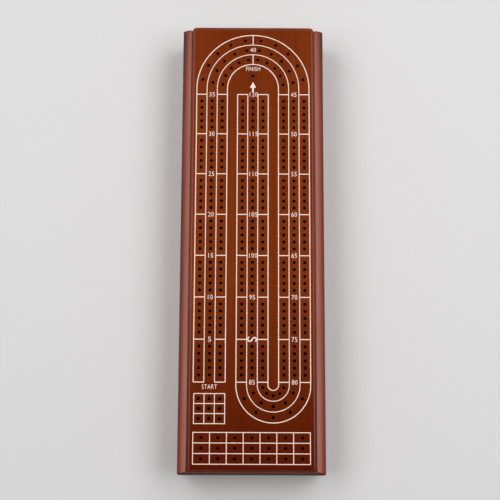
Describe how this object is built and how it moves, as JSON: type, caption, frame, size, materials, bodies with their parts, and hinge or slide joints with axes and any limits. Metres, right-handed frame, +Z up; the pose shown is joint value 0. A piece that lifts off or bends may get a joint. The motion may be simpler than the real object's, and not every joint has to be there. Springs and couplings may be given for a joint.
{
  "type": "cribbage box with drawer",
  "caption": "Long wooden cribbage box: a pegging deck with printed tracks over a moulded case, and a full-length drawer for cards and pegs that slides out of one end.",
  "frame": {"origin": "on the table, at the centre of the case's underside; the knob isn't counted", "axes": "+Z up, out of the playing deck; +Y along the box towards the finish hole and the drawer's front; +X to the right of the player at the START end"},
  "size_m": [0.122, 0.389, 0.05],
  "materials": {
    "deck_wood": "satin lacquered mahogany with white printed tracks",
    "case_wood": "satin lacquered mahogany",
    "drawer_wood": "plain pale hardwood, oiled",
    "panel_wood": "thin birch plywood",
    "strip_wood": "plain pale softwood, unfinished",
    "green_felt": "short green felt",
    "knob_brass": "polished, lacquered",
    "screw_steel": "zinc plated",
    "peg_brass": "polished",
    "peg_steel": "nickel plated, polished",
    "peg_black": "black lacquer on metal"
  },
  "bodies": {
    "case": {"playing_deck": "deck_wood", "left_side_wall": "case_wood", "right_side_wall": "case_wood", "near_end_wall": "case_wood", "bottom_panel": "panel_wood", "bottom_panel_screws": "screw_steel", "base_felt": "green_felt", "left_deck_cleat": "strip_wood", "right_deck_cleat": "strip_wood", "left_runner": "strip_wood", "right_runner": "strip_wood", "corner_blocks": "strip_wood", "drawer_stop": "strip_wood"},
    "drawer": {"drawer_front": "case_wood", "drawer_left_side": "drawer_wood", "drawer_right_side": "drawer_wood", "drawer_back": "drawer_wood", "drawer_bottom": "panel_wood", "peg_divider": "drawer_wood", "card_divider": "drawer_wood", "rear_divider": "drawer_wood", "peg_partitions": "drawer_wood", "peg_well_felts": "green_felt", "card_well_felts": "green_felt", "rear_well_felt": "green_felt", "drawer_knob": "knob_brass", "knob_screw": "screw_steel", "brass_pegs": "peg_brass", "steel_pegs": "peg_steel", "black_pegs": "peg_black"}
  },
  "joints": [
    {"name": "drawer_slide", "type": "slide", "parent": "case", "child": "drawer", "axis": [0, 1, 0], "range_m": [0, 0.29]}
  ]
}
